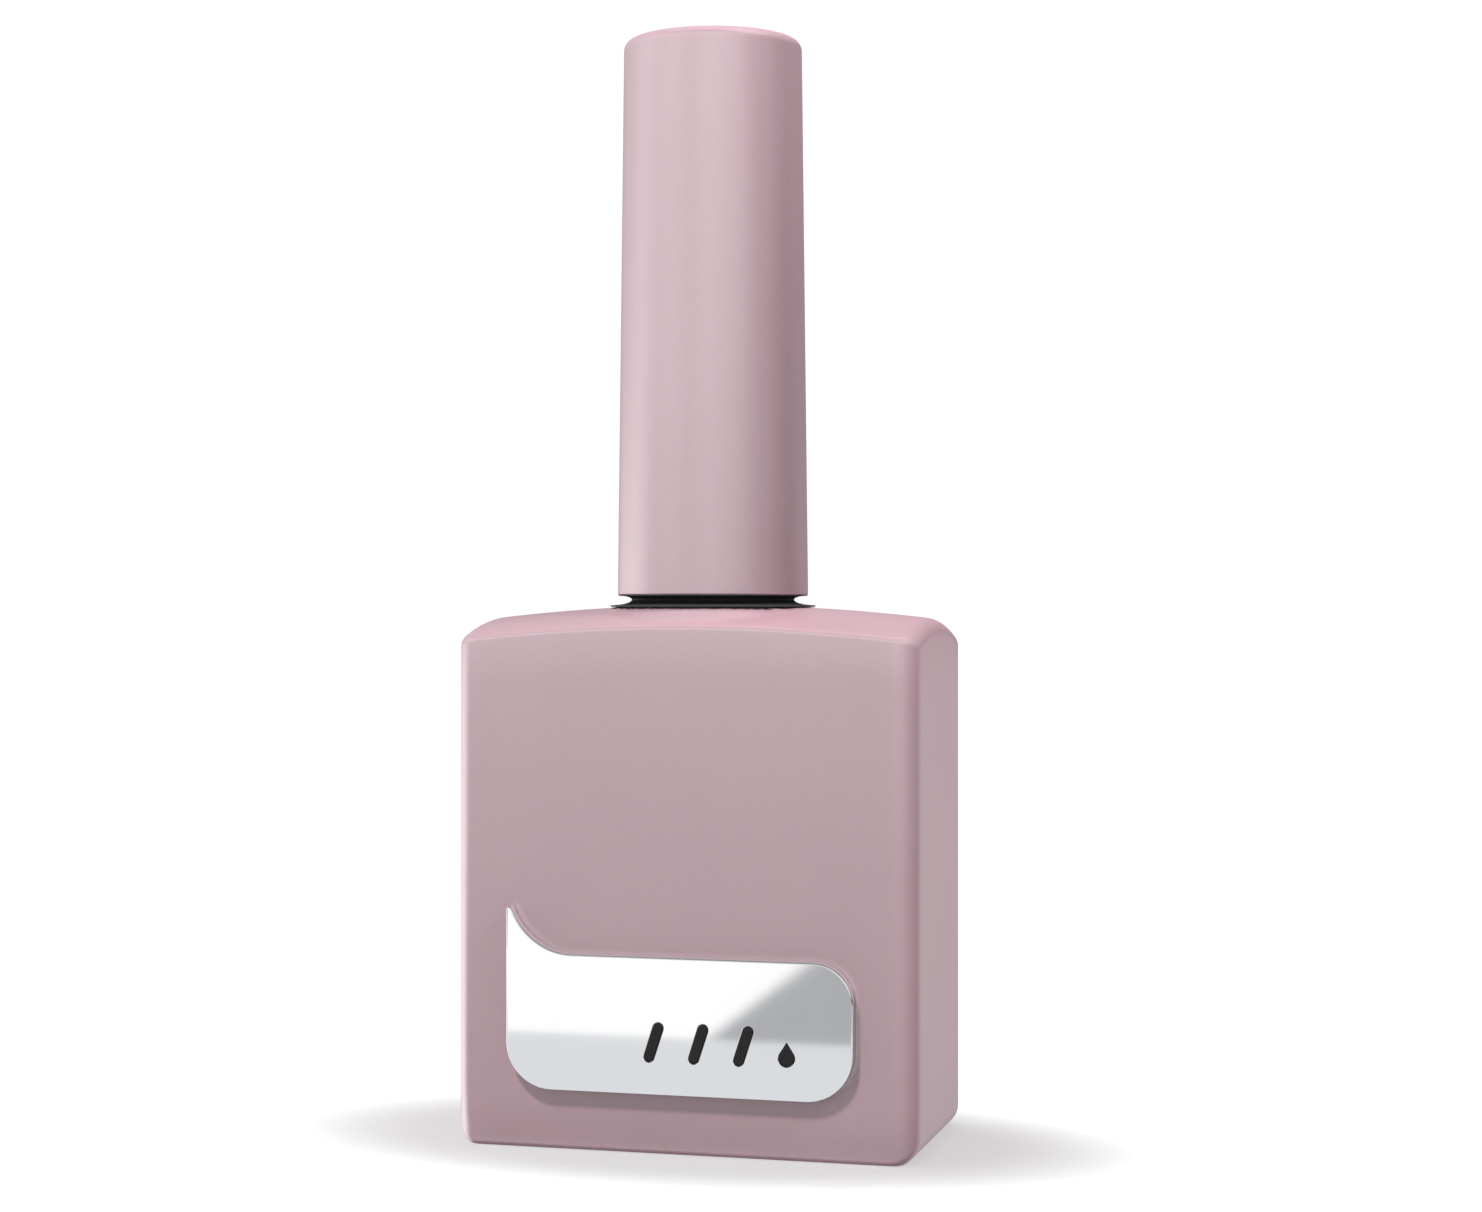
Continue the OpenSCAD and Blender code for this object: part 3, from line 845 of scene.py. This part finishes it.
def bristles(nylon):
    """Nylon filaments packed in the stem, spreading to a flat tuft with a round end."""
    low, high = extent("bristles")
    draw = random.Random(11)
    half_w = high.x - FILAMENT_R
    half_t = high.y - FILAMENT_R
    root_r = BRISTLE_SOCKET_R - 0.05 - FILAMENT_R
    pitch = 2.25 * FILAMENT_R
    root_z = high.z
    leave_z = extent("brush_stem")[0].z
    roots = []
    reach = int(root_r / pitch) + 2
    for row in range(-reach, reach + 1):
        for column in range(-reach, reach + 1):
            x = (column + 0.5 * (row % 2)) * pitch
            y = row * pitch * 0.87
            if math.hypot(x, y) <= root_r:
                roots.append((x, y))
    shell = Shell()
    for x, y in roots:
        u, v = x / root_r, y / root_r
        round_out = math.sqrt(max(0.05, 1 - v * v * 0.5))
        wide_x = half_w * u * round_out * draw.uniform(0.95, 1)
        wide_y = half_t * v * math.sqrt(max(0.05, 1 - u * u * 0.3)) * draw.uniform(0.9, 1)
        end_fall = high.x - math.sqrt(max(0, high.x ** 2 - wide_x ** 2))
        end_z = low.z + end_fall + 0.25 * draw.random() ** 2
        bow = draw.uniform(-0.08, 0.08)
        path = []
        for s in (0, 0.2, 0.42, 0.6, 0.78, 0.9, 0.97, 1):
            z = lerp(root_z, end_z, s)
            spread = ease((leave_z - z) / (leave_z - low.z) * 1.6)
            gather = 1 - 0.06 * ease((s - 0.75) * 4)
            thin = FILAMENT_R * (1 - 0.75 * ease((s - 0.85) / 0.15))
            path.append((
                lerp(x, wide_x, spread) * gather + bow * spread * (1 - spread) * 2,
                lerp(y, wide_y, spread) * gather, z, thin
            ))
        rings = [[path[0][:3]]]
        for px, py, pz, thin in path:
            rings.append([(px + dx, py + dy, pz) for dx, dy, _ in circle(thin, 0, FILAMENT_SIDES)])
        rings.append([(path[-1][0], path[-1][1], path[-1][2] - 0.01)])
        shell.loft(rings)
    return shell.piece("bristle_tuft", nylon)


# Finishes

# Pink coating: the paint's colour and roughness, then the clear lacquer over it
PAINT = (0.47, 0.27, 0.322)
PAINT_ROUGH = 0.5
LACQUER_ROUGH = 0.36
LACQUER_IOR = 4.4


class Value:
    """A number, colour or direction from a node. Sums with numbers add Math nodes."""

    def __init__(self, finish, socket):
        self.finish = finish
        self.socket = socket

    def __add__(self, other):
        return self.finish.maths("ADD", self, other)

    def __sub__(self, other):
        return self.finish.maths("SUBTRACT", self, other)

    def __rsub__(self, other):
        return self.finish.maths("SUBTRACT", other, self)

    def __mul__(self, other):
        return self.finish.maths("MULTIPLY", self, other)

    __radd__ = __add__
    __rmul__ = __mul__


class Finish:
    """The nodes of one material or of the world."""

    def __init__(self, owner):
        self.owner = owner
        owner.use_nodes = True
        self.tree = owner.node_tree
        self.tree.nodes.clear()

    def node(self, kind, settings=None, inputs=None, output=0):
        """Adds a node: its settings first, then its sockets' values or links."""
        made = self.tree.nodes.new(kind)
        for name, value in (settings or {}).items():
            setattr(made, name, value)
        for name, value in (inputs or {}).items():
            socket = made.inputs[name] if isinstance(name, int) else self.find(made.inputs, name)
            if isinstance(value, Value):
                self.tree.links.new(value.socket, socket)
            else:
                socket.default_value = value
        if not len(made.outputs):
            return None
        found = made.outputs[output] if isinstance(output, int) else self.find(made.outputs, output)
        return Value(self, found)

    @staticmethod
    def find(sockets, name):
        for socket in sockets:
            if name in (socket.identifier, socket.name):
                return socket
        raise KeyError(name)

    def maths(self, operation, *values):
        return self.node("ShaderNodeMath", {"operation": operation}, dict(enumerate(values)))

    def place(self):
        return self.node("ShaderNodeTexCoord", output="Object")

    def grain(self, size, detail=2, rough=0.5, stretch=(1, 1, 1)):
        """Cloudy variation from 0 to 1, with features of about size, in millimetres."""
        stretched = self.node(
            "ShaderNodeMapping", {"vector_type": "POINT"}, {"Vector": self.place(), "Scale": stretch}
        )
        return self.node("ShaderNodeTexNoise", None, {
            "Vector": stretched, "Scale": 1 / (size * MM), "Detail": detail, "Roughness": rough
        })

    def specks(self, size):
        """Cells with a random number each, of about size, in millimetres."""
        cells = self.node(
            "ShaderNodeTexVoronoi", None, {"Vector": self.place(), "Scale": 1 / (size * MM)}, "Color"
        )
        return self.node("ShaderNodeSeparateColor", None, {"Color": cells})

    def along(self, axis):
        """Place along X, Y or Z, in millimetres. Along Z it is the height above the floor."""
        return self.node("ShaderNodeSeparateXYZ", None, {"Vector": self.place()}, axis) * (1 / MM)

    def band(self, value, low, high):
        """0 below low, 1 above high, smooth between. low may be above high."""
        return self.node(
            "ShaderNodeMapRange", {"interpolation_type": "SMOOTHSTEP"},
            {"Value": value, "From Min": low, "From Max": high}
        )

    def mix(self, factor, a, b):
        return self.node(
            "ShaderNodeMix", {"data_type": "RGBA"},
            {"Factor_Float": factor, "A_Color": a, "B_Color": b}, "Result_Color"
        )

    def bump(self, height, depth, strength=1.0):
        """A surface direction from a height of 0 to 1, for a real depth in millimetres."""
        return self.node("ShaderNodeBump", None, {
            "Height": height, "Distance": depth * MM, "Strength": strength
        })

    def solid(self, base, rough, normal=None, **constants):
        """The shader. base and rough may vary; the rest are constants by socket name."""
        inputs = {"Base Color": base, "Roughness": rough}
        if normal:
            inputs["Normal"] = normal
        for name, value in constants.items():
            inputs[name.replace("_", " ").title().replace("Ior", "IOR")] = value
        self.surface(self.node("ShaderNodeBsdfPrincipled", None, inputs))
        return self.owner

    def surface(self, shader):
        self.node("ShaderNodeOutputMaterial", None, {"Surface": shader})


def new_finish(name):
    return Finish(bpy.data.materials.new(name))


def colour(red, green, blue):
    return (red, green, blue, 1)


def satin_coat(name, base, rough):
    """Sprayed pink satin lacquer: pearl specks, a little orange peel and faint cloudiness."""
    f = new_finish(name)
    clouds = f.grain(9, 3)
    specks = f.specks(0.06)
    peel = f.grain(0.55, 2)
    deep = colour(*(c * 0.96 for c in base))
    pale = colour(*(c + (1 - c) * 0.035 for c in base))
    shade = f.mix(clouds, deep, pale)
    spark = f.mix(specks * 0.1, shade, colour(0.9, 0.84, 0.86))
    roughness = specks * 0.05 + clouds * 0.04 + (rough - 0.045)
    normal = f.bump(peel + specks * 0.3, 0.0009)
    return f.solid(
        spark, roughness, normal, specular_ior_level=0.0,
        coat_weight=1.0, coat_roughness=LACQUER_ROUGH, coat_ior=LACQUER_IOR
    )


def clear_glass():
    """Clear soda glass with faint mould ripples."""
    f = new_finish("clear_glass")
    ripple = f.grain(1.6, 2)
    smudge = f.grain(2.5, 3)
    tint = f.mix(smudge, colour(0.93, 0.965, 0.95), colour(0.97, 0.985, 0.98))
    return f.solid(
        tint, smudge * 0.06 + 0.02, f.bump(ripple, 0.006), transmission_weight=1.0, ior=1.52
    )


def gel_finish():
    """Pigmented gel with fine shimmer and slow swirls."""
    f = new_finish("gel_polish")
    swirl = f.grain(5, 3, stretch=(1, 1, 2.2))
    shimmer = f.specks(0.05)
    base = f.mix(swirl, colour(0.62, 0.25, 0.33), colour(0.72, 0.36, 0.43))
    spark = f.mix(shimmer * 0.15, base, colour(0.95, 0.8, 0.84))
    return f.solid(
        spark, swirl * 0.06 + 0.08, f.bump(swirl, 0.02), coat_weight=0.6, coat_roughness=0.05
    )


def ball_steel():
    """Polished steel with tumbling scratches."""
    f = new_finish("polished_ball_steel")
    scratch = f.grain(0.12, 4, stretch=(1, 6, 1))
    haze = f.grain(0.9, 2)
    base = f.mix(haze, colour(0.58, 0.585, 0.6), colour(0.68, 0.685, 0.7))
    return f.solid(base, haze * 0.12 + scratch * 0.08 + 0.08, f.bump(scratch, 0.002), metallic=1.0)


def label_paper():
    """Uncoated white sticker paper with fibres."""
    f = new_finish("label_paper")
    fibre = f.grain(0.35, 5, 0.65, stretch=(1, 3, 1))
    blotch = f.grain(2.2, 2)
    base = f.mix(fibre, colour(0.78, 0.77, 0.74), colour(0.88, 0.875, 0.86))
    toned = f.mix(blotch * 0.3, base, colour(0.8, 0.78, 0.75))
    return f.solid(toned, fibre * 0.15 + 0.72, f.bump(fibre, 0.01), sheen_weight=0.15)


def plate_metal():
    """Mirror-polished metal with hairline polishing marks and a trace of haze."""
    f = new_finish("mirror_plate_metal")
    hairline = f.grain(0.05, 3, 0.6, stretch=(0.04, 1, 1))
    haze = f.grain(3, 2)
    base = f.mix(haze, colour(0.955, 0.957, 0.96), colour(0.975, 0.976, 0.978))
    return f.solid(base, hairline * 0.02 + haze * 0.015 + 0.035, f.bump(hairline, 0.00008), metallic=1.0)


def black_enamel():
    """Baked black enamel, glossy, with the skin of a poured drop."""
    f = new_finish("black_enamel")
    skin = f.grain(0.4, 2)
    base = f.mix(skin, colour(0.017, 0.017, 0.018), colour(0.023, 0.023, 0.024))
    return f.solid(base, skin * 0.12 + 0.4, f.bump(skin, 0.0015), specular_ior_level=0.12)


def foam(name, pale, deep, size):
    """Closed-cell foam."""
    f = new_finish(name)
    cells = f.node("ShaderNodeTexVoronoi", None, {"Vector": f.place(), "Scale": 1 / (size * MM)}, "Distance")
    patch = f.grain(1.5, 3)
    base = f.mix(cells * 0.6 + patch * 0.4, pale, deep)
    return f.solid(base, patch * 0.1 + 0.72, f.bump(1 - cells, 0.03))


def black_plastic(name, wet=False):
    """Spark-textured black moulded plastic. The stem also carries a film of gel where it dips."""
    f = new_finish(name)
    spark = f.grain(0.09, 4, 0.6)
    flow = f.grain(3.5, 2, stretch=(1, 1, 0.3))
    base = f.mix(flow, colour(0.034, 0.034, 0.0355), colour(0.044, 0.044, 0.0455))
    roughness = spark * 0.16 + flow * 0.08 + 0.36
    if wet:
        edge = f.grain(1.2, 3)
        film = f.band(f.along("Z") + edge * 5, FILL_Z + 3.5, FILL_Z + 2)
        thick = f.band(edge, 0.3, 0.7) * 0.15 + 0.85
        base = f.mix(film * thick, base, colour(0.6, 0.25, 0.33))
        roughness = roughness * (1 - film) + film * 0.12
    return f.solid(base, roughness, f.bump(spark, 0.003), specular_ior_level=0.15)


def staple_metal():
    """Drawn brass wire."""
    f = new_finish("staple_metal")
    drawn = f.grain(0.06, 3, stretch=(1, 1, 0.08))
    dull = f.grain(0.5, 2)
    base = f.mix(dull, colour(0.62, 0.5, 0.27), colour(0.74, 0.62, 0.38))
    return f.solid(base, drawn * 0.12 + dull * 0.1 + 0.2, f.bump(drawn, 0.002), metallic=1.0)


def bristle_nylon():
    """Dark nylon that carries gel over the part below the stem."""
    f = new_finish("bristle_nylon")
    streak = f.grain(0.3, 3, stretch=(1, 1, 0.05))
    load = f.grain(0.9, 3, stretch=(1, 1, 0.4))
    tip_z, root_z = extent("bristles")[0].z, extent("brush_stem")[0].z
    loaded = f.band(f.along("Z") + load * 3, root_z + 1.5, lerp(tip_z, root_z, 0.55) + 1.5)
    dry = f.mix(streak, colour(0.035, 0.024, 0.02), colour(0.09, 0.06, 0.05))
    gel = f.mix(streak, colour(0.55, 0.2, 0.28), colour(0.68, 0.33, 0.4))
    base = f.mix(loaded, dry, gel)
    roughness = 0.42 - loaded * 0.3 + streak * 0.05
    return f.solid(base, roughness, f.bump(streak, 0.004))


# The piece list: each rides on its body, stands for its CAD node and carries its slot name


def build():
    coat = satin_coat("satin_pink_coat", PAINT, PAINT_ROUGH)
    cap_coat = satin_coat("satin_cap_coat", PAINT, PAINT_ROUGH)
    strokes = [stroke_outline(number) for number in (-1, 0, 1)]
    drop = drop_outline()
    black = black_enamel()
    plate_node = name_plate(plate_metal(), strokes + [drop])
    pieces = [
        (glass_bottle(coat, clear_glass()), "bottle", "glass_bottle", "coated_glass"),
        (gel_polish(gel_finish()), "bottle", "gel_polish", "gel"),
        (base_label(label_paper()), "bottle", "base_label", "label_paper"),
        (plate_node, "bottle", "name_plate", "plate_metal"),
        (
            plate_adhesive(foam("foam_pad", colour(0.85, 0.85, 0.84), colour(0.6, 0.6, 0.59), 0.12)),
            "bottle", "plate_adhesive", "adhesive_pad"
        ),
        (enamel("enamel_strokes", strokes, black), "bottle", "mark_strokes", "black_enamel"),
        (enamel("enamel_drop", [drop], black), "bottle", "mark_drop", "black_enamel"),
        (overcap(cap_coat), "cap", "overcap", "cap_coating"),
        (inner_cap(black_plastic("black_cap_plastic")), "cap", "inner_cap", "black_plastic"),
        (staple(staple_metal()), "cap", "tuft_anchor", "staple_metal"),
        (bristles(bristle_nylon()), "cap", "bristles", "bristle_nylon"),
        (
            seal_liner(foam("liner_foam", colour(0.82, 0.82, 0.8), colour(0.6, 0.6, 0.58), 0.16)),
            "seal", "seal_liner", "liner_foam"
        ),
        (brush_stem(black_plastic("stem_plastic", wet=True)), "stem", "brush_stem", "stem_plastic"),
    ]
    steel = ball_steel()
    for side in ("left", "right"):
        pieces.append((mixing_ball(side, steel), "ball_" + side, "mixing_ball_" + side, "ball_steel"))
    for piece, body, node, slot in pieces:
        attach(piece, body)
        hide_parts(node)


# Studio

FLOOR_GLOW = 1.1
FLOOR_PALE = 0.74
# Painted shadow: the floor's glow falls to its least share near the bottle, between these distances in
# metres
LEAST_GLOW = 0.4
SHADE_FROM = 0.022
SHADE_TO = 0.045
SHADE_BEHIND = 0.0036
SHADE_SQUEEZE = 1.8

# Glowing sheet that paints the plate's reflection, in millimetres
SHEET_X = (-160, 160)
SHEET_Y = (-420, -10.6)
SHEET_Z = 0.2
PALE_BAND_Y = -64
DIAGONAL_X = (-13.8, -11)
DIAGONAL_LEAN = 0.06

# Camera, in metres and degrees
EYE_AZIMUTH = 15.33
EYE_DISTANCE = 0.219
EYE_HEIGHT = 0.04215
LENS = 67.45
SENSOR_WIDTH = 36
LENS_SHIFT = (0.0189, -0.0054)


def direction(azimuth, elevation):
    """Unit vector from the bottle. Azimuth 0 is the front, -Y, and grows towards the right, +X."""
    a, e = math.radians(azimuth), math.radians(elevation)
    return Vector((math.sin(a) * math.cos(e), -math.cos(a) * math.cos(e), math.sin(e)))


# Azimuth, elevation, spread and strength of each patch of the room, above the floor's line
ROOM_ABOVE = {
    "left_rear": (-150, 8, 45, 0.3),
    "left": (-100, 8, 50, 0.4),
    "left_front": (-58, 8, 55, 0.55),
    "front": (-15, 8, 55, 0.42),
    "right_front": (25, 8, 45, 0.6),
    "right": (65, 8, 45, 0.25),
    "rear": (165, 8, 45, 0.1),
    "high_left": (-120, 50, 50, 0.2),
    "high_right": (120, 50, 50, 0.2),
    "overhead": (0, 90, 45, 0.3),
}
# And of what the polish shows below that line, in place of the floor
ROOM_BELOW = {
    "low_left": (-110, -8, 45, 1.8),
    "low_front": (-20, -8, 45, 0.15),
    "low_rear": (165, -8, 45, 0.55),
}


def glow(sky, toward, patches):
    """Soft patches of light in the world, each fading out at spread degrees from its middle."""
    total = 0.0
    for name, (azimuth, elevation, spread, strength) in patches.items():
        nearness = sky.node("ShaderNodeVectorMath", {"operation": "DOT_PRODUCT", "label": name}, {
            0: toward, 1: direction(azimuth, elevation)
        }, "Value")
        total = sky.band(nearness, math.cos(math.radians(spread)), 1) * strength + total
    return total


def world():
    """White to the camera. What lights the bottle is a pale room, brighter to the left."""
    sky = Finish(bpy.data.worlds.new("studio_room"))
    bpy.context.scene.world = sky.owner
    toward = sky.node("ShaderNodeTexCoord", output="Generated")
    height = sky.node("ShaderNodeSeparateXYZ", None, {"Vector": toward}, "Z")
    above = sky.band(height, -0.06, 0.08)
    over = glow(sky, toward, ROOM_ABOVE)
    under = glow(sky, toward, ROOM_BELOW)
    light = over * above + under * (1 - above)
    seen = sky.node("ShaderNodeLightPath", output="Is Camera Ray")
    strength = light * (1 - seen) + seen * 1.02
    room = sky.node("ShaderNodeBackground", None, {"Color": colour(1, 1, 1), "Strength": strength})
    sky.node("ShaderNodeOutputWorld", None, {"Surface": room})


def level_sheet(name, x, y, z, material):
    """A flat staged rectangle, from (low, high) pairs in millimetres."""
    mesh = bpy.data.meshes.new(name)
    corners = [(x[0], y[0], z), (x[1], y[0], z), (x[1], y[1], z), (x[0], y[1], z)]
    mesh.from_pydata([Vector(c) * MM for c in corners], [], [(0, 1, 2, 3)])
    mesh.materials.append(material)
    made = into_scene(name, mesh)
    return made


def floor():
    """A pale floor with a soft shade round the bottle, partly real shade and partly painted shadow. Its
    glow rises away from the bottle, as the camera sees it, and stays even for everything it lights."""
    f = new_finish("pale_floor")
    mottle = f.grain(60, 3)
    pale = f.mix(mottle, colour(*(FLOOR_PALE - 0.01,) * 3), colour(*(FLOOR_PALE + 0.01,) * 3))
    around = f.node("ShaderNodeMapping", {"vector_type": "POINT"}, {
        "Vector": f.place(), "Location": (0, SHADE_BEHIND, 0), "Scale": (1, SHADE_SQUEEZE, 0)
    })
    away = f.node("ShaderNodeVectorMath", {"operation": "LENGTH"}, {0: around}, "Value")
    seen = f.node("ShaderNodeLightPath", output="Is Camera Ray")
    # Painted shadow: to the camera the floor's glow is least near the bottle and rises away from it
    rise = f.band(away, SHADE_FROM, SHADE_TO) * seen * (1 - LEAST_GLOW) + LEAST_GLOW
    f.solid(
        pale, 0.9, specular_ior_level=0.0, emission_color=f.mix(rise, colour(0, 0, 0), colour(1, 1, 1)),
        emission_strength=FLOOR_GLOW
    )
    made = level_sheet("floor", (-3000, 3000), (-3000, 3000), 0, f.owner)
    made.visible_glossy = False
    return made


def painted_reflection_sheet():
    """A glowing sheet on the floor that only the plate's polish shows, a painted reflection: a pale band
    along its near side, and a grey field beyond it whose left side is a soft diagonal."""
    f = new_finish("painted_reflection_glow")
    across = f.along("X")
    depth = f.along("Y")
    grey = f.band(across + (PALE_BAND_Y - depth) * DIAGONAL_LEAN, *DIAGONAL_X)
    beyond = f.mix(grey, colour(1.04, 1.04, 1.04), colour(0.42, 0.425, 0.44))
    near = f.band(depth, PALE_BAND_Y - 1.5, PALE_BAND_Y + 1.5)
    tone = f.mix(near, beyond, colour(0.72, 0.735, 0.755))
    # The sheet glows with these tones, and the plate shows them as a painted reflection
    f.surface(f.node("ShaderNodeEmission", None, {"Color": tone, "Strength": 1.0}))
    made = level_sheet("painted_reflection_sheet", SHEET_X, SHEET_Y, SHEET_Z, f.owner)
    made.visible_camera = False
    made.visible_diffuse = False
    made.visible_shadow = False
    made.visible_transmission = False
    light_link(made, [bpy.data.objects["mirror_name_plate"]], "INCLUDE")


def soft_box(name, azimuth, elevation, distance, size, power):
    """A round lamp aimed at the bottle, seen neither by the camera nor in polish."""
    data = bpy.data.lights.new(name, "AREA")
    data.shape = "DISK"
    data.size = size
    data.energy = power
    lamp = into_scene(name, data)
    toward = direction(azimuth, elevation)
    lamp.location = toward * distance + Vector((0, 0, 0.04))
    lamp.rotation_euler = toward.to_track_quat("Z", "Y").to_euler()
    lamp.visible_camera = False
    lamp.visible_glossy = False
    return lamp


def light_link(lamp, things, state):
    """Keeps a lamp's light off some objects (EXCLUDE) or on them alone (INCLUDE)."""
    linked = bpy.data.collections.new(f"linked_to_{lamp.name}")
    for thing in things:
        linked.objects.link(thing)
    for item in linked.collection_objects:
        item.light_linking.link_state = state
    lamp.light_linking.receiver_collection = linked


def lamps(ground, tall_cap):
    """The key stands high at the front left. Two small lamps shape the right side."""
    key = soft_box("key", azimuth=-20, elevation=54, distance=0.7, size=0.1, power=5.3)
    light_link(key, [ground], "EXCLUDE")
    near = soft_box("near_right", azimuth=80, elevation=40, distance=0.22, size=0.1, power=0.4)
    light_link(near, [ground, tall_cap], "EXCLUDE")
    edge = soft_box("cap_right", azimuth=75, elevation=60, distance=0.15, size=0.06, power=0.14)
    light_link(edge, [tall_cap], "INCLUDE")


def camera():
    """Eye level with the bottle's shoulder, a little to its right."""
    data = bpy.data.cameras.new("camera")
    data.lens = LENS
    data.sensor_width = SENSOR_WIDTH
    data.shift_x, data.shift_y = LENS_SHIFT
    data.clip_start = 0.01
    made = into_scene("camera", data)
    eye = direction(EYE_AZIMUTH, 0) * EYE_DISTANCE
    made.location = (eye.x, eye.y, EYE_HEIGHT)
    made.rotation_euler = (TURN / 4, 0, math.radians(EYE_AZIMUTH))
    bpy.context.scene.camera = made


build()
camera()
ground = floor()
painted_reflection_sheet()
world()
lamps(ground, bpy.data.objects["tapered_overcap"])
bpy.context.scene.view_settings.view_transform = "Standard"
